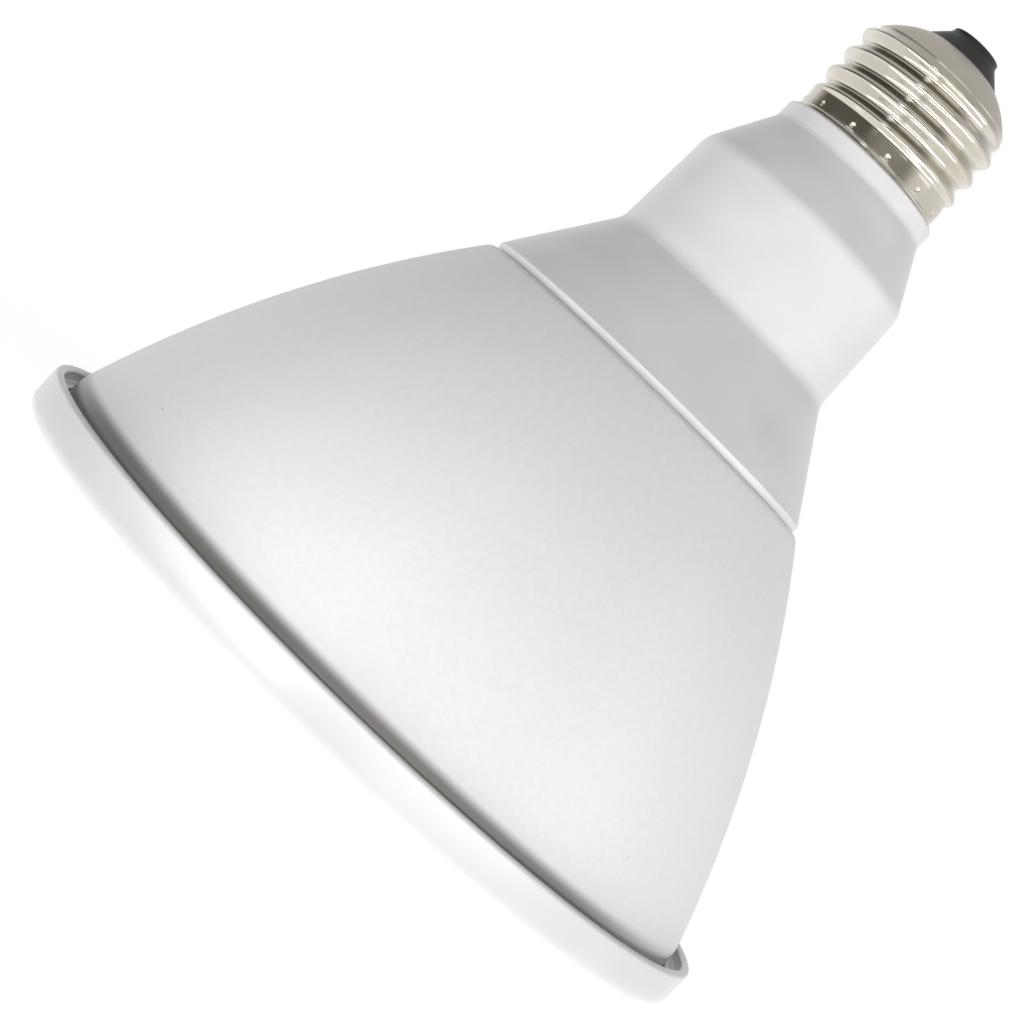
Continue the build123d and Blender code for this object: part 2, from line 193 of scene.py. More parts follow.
ring_r = 60.9
ring_height = 7.35
lip_wall = 1.4
face_wall = 1
window_r = 54.5
window_chamfer = 0.6
pocket_r = 58.9
bead_r = 57.8
bead_low = 4.5
bead_top = 5.5
ring_mesh = bmesh.new()
draw_run(
    ring_mesh,
    [
        (window_r + window_chamfer, 0, 0.25),
        (ring_r, 0, 3),
        (ring_r, ring_height, 0.65),
        (ring_r - lip_wall, ring_height, 0.65),
        (ring_r - lip_wall, bead_top, 0.2),
        (bead_r, bead_top, 0.2),
        (bead_r, bead_low, 0.2),
        (pocket_r, bead_low, 0),
        (pocket_r, face_wall, 0.2),
        (window_r, face_wall, 0.2),
        (window_r, window_chamfer, 0.2),
    ],
    closed=True,
)
turn_section(ring_mesh, steps=256)
front_ring = make_piece(ring_mesh, "bezel_ring", ring_plastic)
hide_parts("front_ring")


# Front lens: the clear cover that spreads the beam, a stepped disc trapped between the ring's face
# and the reflector's rim. It is moulded in acrylic with a pebbled face.

# Clear acrylic: water-white and glossy, with shallow round pebbles 3 mm across that blur the view in.
lens_acrylic = clouded_finish(
    "pebbled_clear_acrylic",
    "#F4F8F8",
    "#FAFCFC",
    grain=9,
    roughness=(0.05, 0.09),
    Transmission_Weight=1.0,
    IOR=1.49,
)
tree = lens_acrylic.node_tree
pebble = add_node(
    tree,
    "ShaderNodeTexVoronoi",
    {"feature": "SMOOTH_F1"},
    {"Vector": tree.nodes["place"].outputs["Object"], "Scale": 1 / (3 * MM), "Smoothness": 0.6},
    {},
)
add_node(
    tree,
    "ShaderNodeBump",
    {"invert": True},
    {"Height": pebble.outputs["Distance"], "Strength": 0.5, "Distance": 0.35 * MM},
    {"Normal": tree.nodes["Principled BSDF"].inputs["Normal"]},
)

fit = 0.3
lens_r = window_r - fit
seat_r = pocket_r - fit
lens_front = 0.4
lens_back = 2.6
lens_mesh = bmesh.new()
draw_run(
    lens_mesh,
    [
        (0, lens_front, 0),
        (lens_r, lens_front, 0.3),
        (lens_r, face_wall, 0),
        (seat_r, face_wall, 0.2),
        (seat_r, lens_back, 0.2),
        (0, lens_back, 0),
    ],
)
turn_section(lens_mesh)
front_lens = make_piece(lens_mesh, "pebbled_lens", lens_acrylic)
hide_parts("front_lens")


# Reflector: the mirror cup that gathers the light of the LEDs, from its small mouth on the LED board
# to a flat rim under the lens. It is moulded in plastic and coated with aluminium in a vacuum.
def draw_arc(bm, start, end, radius, steps):
    """Draws an arc on the XZ plane, in millimetres, from a low start up to end, bulging outwards."""
    run, rise = end[0] - start[0], end[1] - start[1]
    chord = math.hypot(run, rise)
    leg = math.sqrt(radius**2 - chord**2 / 4)
    centre_r = (start[0] + end[0]) / 2 - leg * rise / chord
    centre_z = (start[1] + end[1]) / 2 + leg * run / chord
    bmesh.ops.spin(
        bm,
        geom=[bm.verts.new((start[0] * MM, 0, start[1] * MM))],
        cent=(centre_r * MM, 0, centre_z * MM),
        axis=(0, -1, 0),
        angle=2 * math.asin(chord / 2 / radius),
        steps=steps,
    )


# Vacuum-coated aluminium: a bright neutral mirror with a mist of dull patches, whose faint orange
# peel, 1.5 mm across, breaks up the picture in it.
reflector_mirror = clouded_finish(
    "vacuum_coated_aluminium", "#DFE1E3", "#E9EBEC", grain=12, roughness=(0.07, 0.15), Metallic=1.0
)
ripple_surface(reflector_mirror, width=1.5, detail=2, strength=0.2, depth=0.04)

cup_r = 54.3
cup_wall = 1.2
cup_curve = 110
cup_steps = 48
rim_wall = 0.8
rim_back = lens_back + rim_wall
mouth_r = 13
board_front = 47.55
reflector_mesh = bmesh.new()
draw_arc(reflector_mesh, (cup_r, lens_back), (mouth_r, board_front), cup_curve, cup_steps)
draw_arc(
    reflector_mesh, (cup_r + cup_wall, rim_back), (mouth_r + cup_wall, board_front), cup_curve, cup_steps
)
draw_run(
    reflector_mesh,
    [
        (cup_r, lens_back, 0),
        (seat_r, lens_back, 0.2),
        (seat_r, rim_back, 0.2),
        (cup_r + cup_wall, rim_back, 0),
    ],
)
draw_run(reflector_mesh, [(mouth_r, board_front, 0), (mouth_r + cup_wall, board_front, 0)])
turn_section(reflector_mesh)
reflector = make_piece(reflector_mesh, "mirror_cup", reflector_mirror)
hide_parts("reflector")


# LED packages: eight white LEDs in a circle on the LED board, each a small moulded frame round a
# window of yellow phosphor. They are soldered flat and face the front of the lamp.

# Moulded LED frame: chalky white plastic that throws light back.
led_frame = clouded_finish(
    "moulded_white_led_frame", "#E9E8E2", "#F5F4EF", grain=0.4, roughness=(0.45, 0.55), IOR=1.55
)
# Phosphor in silicone: egg-yolk yellow and smooth, with a faint grain of powder 0.3 mm across.
led_phosphor = clouded_finish(
    "phosphor_in_silicone", "#DDB52C", "#F0D552", grain=0.3, roughness=(0.2, 0.3), IOR=1.42
)

led_count = 8
led_circle_r = 9
led_side = 3.5
led_height = 0.8
led_corner = 0.3
led_rim = 0.4
led_dish = 0.15
for number in range(1, led_count + 1):
    led_mesh = bmesh.new()
    bmesh.ops.create_cube(
        led_mesh, size=1, matrix=Matrix.Diagonal((led_side * MM, led_side * MM, led_height * MM, 1))
    )
    uprights = [edge for edge in led_mesh.edges if edge.verts[0].co.xy == edge.verts[1].co.xy]
    bmesh.ops.bevel(
        led_mesh,
        geom=uprights,
        offset=led_corner * MM,
        affect="EDGES",
        segments=3,
        profile=0.5,
        material=-1,
    )
    window = min(led_mesh.faces, key=lambda face: face.calc_center_median().z)
    bmesh.ops.inset_region(led_mesh, faces=[window], thickness=led_rim * MM)
    bmesh.ops.inset_region(led_mesh, faces=[window], thickness=led_dish * MM, depth=-led_dish * MM)
    window.material_index = 1
    bmesh.ops.transform(
        led_mesh,
        matrix=Matrix.Rotation(math.tau / led_count * (number - 1), 4, "Z")
        @ Matrix.Translation((led_circle_r * MM, 0, (board_front - led_height / 2) * MM)),
        verts=led_mesh.verts[:],
    )
    led = make_piece(led_mesh, f"led_package_{number}", led_frame, led_phosphor)
    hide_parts(f"led_{number}")


# LED board: the metal-backed circuit board that the LEDs are soldered to, pressed flat on the heat
# spreader. Its front is printed all over with a white solder mask.
def give_finish(finish, *nodes):
    """Gives CAD nodes whose shape is right a finish."""
    for node in nodes:
        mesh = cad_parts[node].data
        mesh.materials.clear()
        mesh.materials.append(finish)


# White solder mask: matt cured ink with a fine pimple, drawn 0.5 mm across so that it shows.
mask_ink = clouded_finish(
    "white_solder_mask", "#E3E5E0", "#F2F3F0", grain=0.5, roughness=(0.42, 0.58), IOR=1.5
)
give_finish(mask_ink, "led_board")


# LED connector and pins: the socket in the middle of the LED board, and the two square pins that reach
# it from the driver board. The socket is moulded in nylon, and the pins are tinned brass.

# Natural nylon: off-white and waxy, with a slight unevenness where it shrank.
socket_nylon = clouded_finish(
    "moulded_natural_nylon", "#E2DCCB", "#EFEADC", grain=2.5, roughness=(0.38, 0.55), IOR=1.53
)
give_finish(socket_nylon, "led_connector")
# Tinned brass: pale grey metal with soft dull patches where the tin flowed.
pin_tin = clouded_finish(
    "tinned_brass", "#B5B4B0", "#D3D2CF", grain=1.2, roughness=(0.25, 0.45), Metallic=1.0
)
give_finish(pin_tin, "led_pins")


# Heat spreader: the plate inside the bowl that carries the LED board and takes its heat out to the
# bowl. It is turned from aluminium plate, and a loose fit in the bowl's curve.

# Turned aluminium: soft grey metal with fine circular tool marks, drawn 0.8 mm apart so that they show.
spreader_metal = clouded_finish(
    "turned_aluminium_plate", "#C3C5C7", "#CFD1D3", grain=6, roughness=(0.28, 0.4), Metallic=1.0
)
tree = spreader_metal.node_tree
wave_length_at_scale_1 = math.tau / 20
tool_marks = add_node(
    tree,
    "ShaderNodeTexWave",
    {"wave_type": "RINGS", "rings_direction": "Z"},
    {
        "Vector": tree.nodes["place"].outputs["Object"],
        "Scale": wave_length_at_scale_1 / (0.8 * MM),
        "Distortion": 0.4,
    },
    {},
)
add_node(
    tree,
    "ShaderNodeBump",
    {},
    {"Height": tool_marks.outputs["Fac"], "Strength": 0.2, "Distance": 0.02 * MM},
    {"Normal": tree.nodes["Principled BSDF"].inputs["Normal"]},
)
give_finish(spreader_metal, "heat_spreader")


# Spreader screws: three short screws from the front of the plate into the posts of the neck. They are
# cold-headed in steel with a flat round head, thread-rolled and plated with zinc.

# Zinc plate: blue-grey metal, half shiny, with a cloudy film in patches 2 mm across.
screw_zinc = clouded_finish(
    "zinc_plated_steel", "#A6ABB2", "#CDD0D4", grain=2, roughness=(0.22, 0.42), Metallic=1.0
)
give_finish(screw_zinc, "spreader_screws")


# Bowl: the tapered body between the ring and the neck. It is spun from aluminium sheet with a flange
# at its wide end, and sprayed on the outside with a satin silver-white paint.

# Sprayed satin paint: silver-white with a broad soft sheen. Its flake and spray texture, drawn 0.7 mm
# across so that it shows, keeps the sheen from looking like glass, and a few dust specks sit in it. A
# painted shade darkens it to grey in the last 2 mm above the ring's lip, where the lip shades it, most of
# all at the front.
bowl_paint = clouded_finish(
    "sprayed_satin_silver_white_paint",
    "#EEEFEE",
    "#F1F2F1",
    grain=0.7,
    roughness=(0.39, 0.4),
    Metallic=0.1,
    IOR=1.5,
)
tree = bowl_paint.node_tree
shader = tree.nodes["Principled BSDF"]
place = tree.nodes["place"].outputs["Object"]
# The sockets of a colour Mix node go by number, because its other types have sockets of the same names.
MIX_SHARE, MIX_FIRST, MIX_SECOND, MIX_RESULT = 0, 6, 7, 2
dust = add_node(
    tree, "ShaderNodeTexVoronoi", {"feature": "F1"}, {"Vector": place, "Scale": 1 / (9 * MM)}, {}
)
speck = add_node(
    tree,
    "ShaderNodeMapRange",
    {},
    {"Value": dust.outputs["Distance"], "From Min": 0.012, "From Max": 0.03, "To Min": 0.6, "To Max": 0.0},
    {},
)
dusty = add_node(
    tree,
    "ShaderNodeMix",
    {"data_type": "RGBA"},
    {
        MIX_SHARE: speck.outputs["Result"],
        MIX_FIRST: tree.nodes["tint"].outputs["Color"],
        MIX_SECOND: linear("#A9A8A6"),
    },
    {},
)
above_lip = add_node(
    tree, "ShaderNodeVectorMath", {"operation": "DOT_PRODUCT"}, {0: place, 1: (0.008, 0, 1)}, {}
)
# Painted shade: a grey band from 8.1 to 9.7 mm above the lip stands in for the shade that the ring's lip
# casts on the bowl. It eases off close to the lip, where the gap's own shade falls, and is strongest at
# the front.
painted_shade_rise = add_node(
    tree,
    "ShaderNodeMapRange",
    {"interpolation_type": "SMOOTHSTEP"},
    {
        "Value": above_lip.outputs["Value"],
        "From Min": 8.1 * MM,
        "From Max": 9.7 * MM,
        "To Min": 1.0,
        "To Max": 0.0,
    },
    {},
)
painted_shade_eased_at_lip = add_node(
    tree,
    "ShaderNodeMapRange",
    {"interpolation_type": "SMOOTHSTEP"},
    {
        "Value": above_lip.outputs["Value"],
        "From Min": 7 * MM,
        "From Max": 7.8 * MM,
        "To Min": 0.65,
        "To Max": 1.0,
    },
    {},
)
band = add_node(
    tree,
    "ShaderNodeMath",
    {"operation": "MULTIPLY"},
    {0: painted_shade_rise.outputs["Result"], 1: painted_shade_eased_at_lip.outputs["Result"]},
    {},
)
front = add_node(
    tree, "ShaderNodeVectorMath", {"operation": "DOT_PRODUCT"}, {0: place, 1: (-0.2, -0.98, 0)}, {}
)
painted_shade_front_share = add_node(
    tree,
    "ShaderNodeMapRange",
    {"interpolation_type": "SMOOTHSTEP"},
    {
        "Value": front.outputs["Value"],
        "From Min": -2 * MM,
        "From Max": 45 * MM,
        "To Min": 0.1,
        "To Max": 1.0,
    },
    {},
)
painted_lip_shade = add_node(
    tree,
    "ShaderNodeMath",
    {"operation": "MULTIPLY"},
    {0: band.outputs["Value"], 1: painted_shade_front_share.outputs["Result"]},
    {},
)
# The painted shade mixes the grey #8E8B88 into the paint's colour.
add_node(
    tree,
    "ShaderNodeMix",
    {"data_type": "RGBA"},
    {
        MIX_SHARE: painted_lip_shade.outputs["Value"],
        MIX_FIRST: dusty.outputs[MIX_RESULT],
        MIX_SECOND: linear("#8E8B88"),
    },
    {MIX_RESULT: shader.inputs["Base Color"]},
)
add_node(
    tree,
    "ShaderNodeBump",
    {},
    {"Height": tree.nodes["cloud"].outputs["Fac"], "Strength": 0.02, "Distance": 0.03 * MM},
    {"Normal": shader.inputs["Normal"]},
)

bowl_r = 57.5
bowl_wall = 1.5
bowl_bore = bowl_r - bowl_wall
bowl_curve = 174
bowl_steps = 40
band_top = 7.75
bore_band_top = 7.52
flange_wall = 1
flange_back = rim_back + flange_wall
seam = 60.75
seam_r = 29.6
seam_bore = 27.7
bowl_mesh = bmesh.new()
draw_arc(bowl_mesh, (bowl_r, band_top), (seam_r, seam), bowl_curve, bowl_steps)
draw_arc(bowl_mesh, (bowl_bore, bore_band_top), (seam_bore, seam), bowl_curve - bowl_wall, bowl_steps)
draw_run(
    bowl_mesh,
    [
        (bowl_bore, bore_band_top, 0),
        (bowl_bore, rim_back, 0),
        (seat_r, rim_back, 0.2),
        (seat_r, flange_back, 0.2),
        (bowl_r, flange_back, 0.1),
        (bowl_r, band_top, 0),
    ],
)
draw_run(bowl_mesh, [(seam_bore, seam, 0), (seam_r, seam, 0)])
bmesh.ops.remove_doubles(bowl_mesh, verts=bowl_mesh.verts[:], dist=0.02 * MM)
for radius, height, rounding in ((bowl_r, band_top, 1.2), (seam_r, seam, 0.88)):
    corner = Vector((radius * MM, 0, height * MM))
    round_corner(bowl_mesh, min(bowl_mesh.verts, key=lambda vert: (vert.co - corner).length), rounding)
turn_section(bowl_mesh, steps=256)
bowl = make_piece(bowl_mesh, "painted_bowl", bowl_paint)
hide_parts("bowl_shell")


# Neck housing: the hollow neck that holds the driver and carries the screw base. It is moulded in one
# piece: a spigot in the bowl, a rim on the bowl's edge, two cones, a barrel, a collar, posts and rails.

# Satin-moulded polycarbonate: a neutral white, very faintly clouded, with a softer shine than the ring.
# A shallow ripple from the plastic's flow, 12 mm across, shows as soft lighter and darker drifts.
neck_plastic = clouded_finish(
    "satin_moulded_white_polycarbonate", "#DDDCDD", "#E0DFE0", grain=12, roughness=(0.279, 0.281), IOR=1.58
)
ripple_surface(neck_plastic, width=12, detail=1, strength=0.8, depth=0.8)

neck_wall = 2
spigot_r = seam_bore - fit
spigot_low = 56.15
edge_low_r = 28.6
edge_top, edge_top_r = 61.8, 28.8
barrel_low, barrel_low_r = 76.25, 19.15
barrel_top, barrel_top_r = 92.35, 18.5
collar_low, collar_top, collar_r = 101.45, 104.3, 13.5
step_top, step_r = 107.3, 11.9
tube_top, tube_r = 115.3, 11.23
neck_mesh = bmesh.new()
draw_run(
    neck_mesh,
    [
        (spigot_r - neck_wall, spigot_low, 0.2),
        (spigot_r, spigot_low, 0.4),
        (spigot_r, seam, 0),
        (edge_low_r, seam, 0.05),
        (edge_top_r, edge_top, 0.12),
        (barrel_low_r, barrel_low, 0.9),
        (barrel_top_r, barrel_top, 0.9),
        (collar_r, collar_low, 0.5),
        (collar_r, collar_top, 0.5),
        (step_r, collar_top, 0),
        (step_r, step_top, 0.3),
        (tube_r, step_top, 0),
        (tube_r, tube_top, 0.4),
        (tube_r - neck_wall, tube_top, 0.3),
        (tube_r - neck_wall, collar_low, 0.5),
        (barrel_top_r - neck_wall, barrel_top, 0.8),
        (barrel_low_r - neck_wall, barrel_low, 0.8),
        (spigot_r - neck_wall, seam, 0.8),
    ],
    closed=True,
)
turn_section(neck_mesh)

post_count = 3
post_first = 90
post_r = 3.2
post_low = 52.15
post_length = 16
post_circle_r = 21
screw_hole_r = 1.6
screw_hole_depth = 12
for number in range(post_count):
    post = bmesh.ops.create_cone(
        neck_mesh,
        cap_ends=True,
        segments=32,
        radius1=post_r * MM,
        radius2=post_r * MM,
        depth=post_length * MM,
        matrix=Matrix.Rotation(math.radians(post_first + 360 / post_count * number), 4, "Z")
        @ Matrix.Translation((post_circle_r * MM, 0, (post_low + post_length / 2) * MM)),
    )
    post_faces = {face for vert in post["verts"] for face in vert.link_faces}
    screw_hole = min(post_faces, key=lambda face: face.calc_center_median().z)
    bmesh.ops.inset_region(neck_mesh, faces=[screw_hole], thickness=(post_r - screw_hole_r) * MM)
    bmesh.ops.inset_region(neck_mesh, faces=[screw_hole], thickness=0, depth=-screw_hole_depth * MM)

# Each rail is two walls with a slot for the board between them, closed by a stop at its upper end.
rail_out = 15.6
rail_reach = 3.8
rail_parts = ((-3.25, 1.5, barrel_low), (0.25, 1.5, barrel_low), (-1.5, 2, barrel_top - 1))
for side in (-rail_out, rail_out):
    for offset, width, low in rail_parts:
        bmesh.ops.create_cube(
            neck_mesh,
            size=1,
            matrix=Matrix.Translation((side * MM, offset * MM, (low + barrel_top) / 2 * MM))
            @ Matrix.Diagonal((rail_reach * MM, width * MM, (barrel_top - low) * MM, 1)),
        )
neck = make_piece(neck_mesh, "neck_moulding", neck_plastic)
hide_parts("neck_housing")


# Driver board: the circuit board that stands upright in the neck's rails and carries the driver. It is
# glass-fibre laminate with a green solder mask.

# Green solder mask on laminate: dark leaf green and glossy, lighter where the weave lies near the skin.
board_mask = clouded_finish(
    "green_masked_laminate", "#1F4A33", "#2B6142", grain=1.5, roughness=(0.28, 0.42), IOR=1.5
)
give_finish(board_mask, "driver_board")


# Transformer and choke: the bobbin and core that step the mains down for the LEDs, and the small choke
# in the mains line. The winding is wrapped in polyester tape, and core and choke are fired ferrite.

# Yellow polyester tape: clear amber-yellow film, shiny, with darker turns of wire under it.
winding_tape = clouded_finish(
    "yellow_polyester_tape", "#C79A22", "#E3B93F", grain=3, roughness=(0.22, 0.34), IOR=1.57
)
give_finish(winding_tape, "transformer_winding")
# Fired ferrite: charcoal ceramic, dull, with a fine pitted grain 0.4 mm across.
core_ferrite = clouded_finish(
    "fired_ferrite", "#2B2B2D", "#3D3D40", grain=0.4, roughness=(0.5, 0.7), IOR=2.0
)
give_finish(core_ferrite, "transformer_core", "line_choke")


# Capacitors: two electrolytic cans in shrunk sleeves on the front of the board, and a moulded film
# capacitor on its back. The sleeves are PVC, and the film capacitor's case is filled with resin.

# Shrunk PVC sleeve: blue-black and shiny, slightly uneven over the can.
can_sleeve = clouded_finish(
    "shrunk_pvc_sleeve", "#1B2436", "#263149", grain=4, roughness=(0.2, 0.32), IOR=1.54
)
give_finish(can_sleeve, "bulk_capacitor", "output_capacitor")
# Resin-filled case: tan-yellow moulding, half matt.
film_case = clouded_finish(
    "resin_filled_case", "#C8923A", "#D7A750", grain=3, roughness=(0.35, 0.5), IOR=1.55
)
give_finish(film_case, "film_capacitor")


# Rectifier, control chip and transistor: the driver's small black packages, soldered to the back of
# the board. They are transfer-moulded in filled epoxy.

# Filled epoxy: near-black and matt, with a fine sparkle of filler 0.3 mm across.
black_epoxy = clouded_finish(
    "filled_black_epoxy", "#1D1D1F", "#2A2A2C", grain=0.3, roughness=(0.5, 0.66), IOR=1.58
)
give_finish(black_epoxy, "rectifier", "control_chip", "switch_transistor")


# Fuse resistor: the small lacquered resistor in the mains line that burns out if the driver fails. Its
# ceramic rod is dipped in a matt lacquer.

# Dipped lacquer: grey-green and matt, thicker in soft patches 1.5 mm across.
resistor_lacquer = clouded_finish(
    "dipped_matt_lacquer", "#6E7F78", "#869890", grain=1.5, roughness=(0.55, 0.7), IOR=1.5
)
give_finish(resistor_lacquer, "fuse_resistor")


# Leads: the live wire from the board up to the centre contact, and the neutral wire over the edge of
# the neck to the shell. Both are stranded copper in silicone sleeving.

# Silicone sleeving: soft off-white rubber, dull, faintly dusty.
lead_sleeving = clouded_finish(
    "silicone_sleeving", "#D8D4CC", "#E6E3DC", grain=2, roughness=(0.5, 0.65), IOR=1.41
)
give_finish(lead_sleeving, "live_lead", "neutral_lead")


# Screw shell: the threaded cap that screws into a lampholder. It is drawn from thin brass sheet, its
# thread is rolled, it is plated with nickel, and a ring of punch marks pins its skirt to the neck.

# Bright nickel plate: warm grey metal, polished on the skirt and thread so that it mirrors the room in
# streaks, broken up by drawing waves 2.5 mm across. The shoulder is dull, since drawing roughened it.
shell_nickel = clouded_finish(
    "bright_nickel_plate", "#C8C2B5", "#D0CABE", grain=5, roughness=(0.1, 0.15), Metallic=1.0
)
tree = shell_nickel.node_tree
height_in = add_node(
    tree, "ShaderNodeSeparateXYZ", {}, {"Vector": tree.nodes["place"].outputs["Object"]}, {}
)
drawn_dull = add_node(
    tree,
    "ShaderNodeMapRange",
    {"interpolation_type": "SMOOTHSTEP"},
    {
        "Value": height_in.outputs["Z"],
        "From Min": 119.4 * MM,
        "From Max": 120.8 * MM,
        "To Min": 0.0,
        "To Max": 0.3,
    },
    {},
)
add_node(
    tree,
    "ShaderNodeMath",
    {"operation": "ADD"},
    {0: tree.nodes["shine"].outputs["Result"], 1: drawn_dull.outputs["Result"]},
    {"Value": tree.nodes["Principled BSDF"].inputs["Roughness"]},
)
ripple_surface(shell_nickel, width=2.5, detail=0, strength=0.3, depth=0.05)

shell_wall = 0.3
shell_steps = 144
thread_r = 12.9
thread_depth = 1.07
thread_pitch = 3.629
thread_turns = 3.6
thread_fade = 0.5
thread_start = 143
thread_low = 107.2
thread_top = thread_low + thread_turns * thread_pitch
skirt_drop = 0.4
skirt_r = thread_r - skirt_drop
hem_r = 12.62
hem_low = collar_top + 0.05
hem_top = 104.8
mark_height = 105.8
mark_r = 0.5
shoulder_drop = 1.2
shoulder_curve = 14
shoulder_rise = 3.9
shell_top = thread_top + shoulder_rise
shell_mouth_r = 6.6
shell_mesh = bmesh.new()
draw_run(
    shell_mesh,
    [
        (hem_r - 0.32, hem_low, 0),
        (hem_r, hem_low + 0.07, 0.08),
        (hem_r, hem_top, 0.12),
        (hem_r - 0.16, hem_top + 0.2, 0.1),
        (skirt_r, mark_height - mark_r, 0),
        (skirt_r, mark_height, 0),
        (skirt_r, mark_height + mark_r, 0),
        (skirt_r, thread_low, 0),
    ],
)
shoulder_foot = (thread_r - shoulder_drop, thread_top)
draw_arc(shell_mesh, shoulder_foot, (shell_mouth_r, shell_top), shoulder_curve, steps=12)
turn_section(shell_mesh, steps=shell_steps)

# The thread is a stack of hoops whose centre walks round the axis once in each pitch. Its swing grows
# out of the skirt and dies away into the shoulder.
levels_per_turn = 24
levels = round(levels_per_turn * thread_turns)
below = None
for level in range(levels + 1):
    turn = thread_turns * level / levels
    rise_in = (1 - math.cos(math.pi * min(turn / thread_fade, 1))) / 2
    rise_out = (1 - math.cos(math.pi * min((thread_turns - turn) / thread_fade, 1))) / 2
    swing = thread_depth / 2 * rise_in * rise_out
    heading = math.radians(thread_start + 360 * turn)
    hoop = bmesh.ops.create_circle(
        shell_mesh,
        segments=shell_steps,
        radius=(thread_r - swing - skirt_drop * (1 - rise_in) - shoulder_drop * (1 - rise_out)) * MM,
        matrix=Matrix.Translation(
            (
                swing * math.cos(heading) * MM,
                swing * math.sin(heading) * MM,
                (thread_low + turn * thread_pitch) * MM,
            )
        ),
    )
    edges = list(dict.fromkeys(edge for vert in hoop["verts"] for edge in vert.link_edges))
    if below:
        bmesh.ops.bridge_loops(shell_mesh, edges=below + edges)
    below = edges
bmesh.ops.remove_doubles(shell_mesh, verts=shell_mesh.verts[:], dist=0.005 * MM)
bmesh.ops.recalc_face_normals(shell_mesh, faces=shell_mesh.faces[:])
shell_mesh.normal_update()
if sum(face.normal.xy.dot(face.calc_center_median().xy) for face in shell_mesh.faces) < 0:
    bmesh.ops.reverse_faces(shell_mesh, faces=shell_mesh.faces[:])

# Each punch mark is struck into a patch of the skirt that is first cut into a finer grid.
mark_count = 12
mark_first = 7.5
mark_depth = 0.22
for number in range(mark_count):
    angle = math.radians(mark_first + 360 / mark_count * number)
    spot = Vector((skirt_r * math.cos(angle), skirt_r * math.sin(angle), mark_height)) * MM
    patch = 1.5 * mark_r * MM
    struck = [face for face in shell_mesh.faces if (face.calc_center_median() - spot).length < patch]
    grid = list(dict.fromkeys(edge for face in struck for edge in face.edges))
    bmesh.ops.subdivide_edges(shell_mesh, edges=grid, cuts=6, use_grid_fill=True)
    for vert in shell_mesh.verts:
        away = (vert.co - spot).length / (mark_r * MM)
        if away < 1:
            vert.co.xy *= 1 - mark_depth / skirt_r * (1 + math.cos(math.pi * away)) / 2
bmesh.ops.solidify(shell_mesh, geom=shell_mesh.faces[:], thickness=shell_wall * MM)
screw_shell = make_piece(shell_mesh, "rolled_screw_shell", shell_nickel)
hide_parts("screw_shell")


# Base insulator: the black plug that closes the mouth of the shell and keeps the centre contact apart
# from it. It is moulded in phenolic plastic, pressed up from inside the shell.

# Moulded phenolic: blue-black with a dull satin shine and a fine flow grain.
insulator_phenolic = clouded_finish(
    "moulded_black_phenolic", "#121315", "#191A1C", grain=1.5, roughness=(0.38, 0.46), IOR=1.5
)

nose_r = 4
nose_rise = 3.4
nose_land = 0.7
nose_top = shell_top + nose_rise
recess_r = 2.8
recess_depth = 0.8
recess_low = nose_top - recess_depth
rivet_bore = 1.8
insulator_mesh = bmesh.new()
draw_run(
    insulator_mesh,
    [
        (rivet_bore, thread_top, 0),
        (tube_r, thread_top, 0.3),
        (shell_mouth_r - shell_wall, shell_top - shell_wall, 0),
        (shell_mouth_r - shell_wall, shell_top, 0),
        (shell_mouth_r, shell_top, 0.1),
        (nose_r, nose_top - nose_land, 0.4),
        (nose_r, nose_top, 0.5),
        (recess_r, nose_top, 0.12),
        (recess_r, recess_low, 0),
        (rivet_bore, recess_low, 0),
    ],
    closed=True,
)
turn_section(insulator_mesh, steps=128)
insulator = make_piece(insulator_mesh, "phenolic_insulator", insulator_phenolic)
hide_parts("base_insulator")


# Centre contact: the rivet in the end of the insulator that takes the live wire to the lampholder. It
# is headed in brass, and the end that the lampholder's tongue touches is tinned.

# Tinned contact: soft grey metal with a mottled, slightly dull flow of tin.
contact_tin = clouded_finish(
    "tinned_brass_contact", "#B9B3A6", "#D2CDC2", grain=1, roughness=(0.24, 0.42), Metallic=1.0
)

head_r = recess_r - fit
shank_r = rivet_bore - fit
shank_drop = 2
shank_low = thread_top - shank_drop
dome_rise = 0.4
contact_mesh = bmesh.new()
draw_run(
    contact_mesh,
    [
        (0, nose_top + dome_rise, 0),
        (1.3, nose_top + dome_rise - 0.11, 0.5),
        (head_r, nose_top, 0.25),
        (head_r, recess_low, 0.1),
        (shank_r, recess_low, 0),
        (shank_r, shank_low, 0.2),
        (0, shank_low, 0),
    ],
)
turn_section(contact_mesh, steps=96)
contact = make_piece(contact_mesh, "rivet_contact", contact_tin)
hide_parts("centre_contact")


# Stage: a white floor that glows like a light table, less so near the lamp, where it shows the shadow; a
# room whose walls show in gloss, dim in front and on the left; soft lamps in front, at the right and at
# floor level; and the camera at the photograph's angle, rolled so that the base points up to the right.
floor_paper = bpy.data.materials.new("white_paper_floor")
floor_paper.use_nodes = True
tree = floor_paper.node_tree
tree.nodes.remove(tree.nodes["Principled BSDF"])
path = add_node(tree, "ShaderNodeLightPath", {}, {}, {})
paper = add_node(tree, "ShaderNodeBsdfDiffuse", {}, {"Color": linear("#EDEDED")}, {})
ground = add_node(tree, "ShaderNodeTexCoord", {}, {}, {})
distance = add_node(
    tree, "ShaderNodeVectorMath", {"operation": "LENGTH"}, {"Vector": ground.outputs["Object"]}, {}
)
seen_glow = add_node(
    tree,
    "ShaderNodeMapRange",
    {"interpolation_type": "SMOOTHSTEP"},
    {"Value": distance.outputs["Value"], "From Min": 0.06, "From Max": 0.4, "To Min": 0.8, "To Max": 1},
    {},
)
glow_level = add_node(
    tree,
    "ShaderNodeMapRange",
    {},
    {"Value": path.outputs["Is Diffuse Ray"], "To Min": seen_glow.outputs["Result"], "To Max": 1.14},
    {},
)
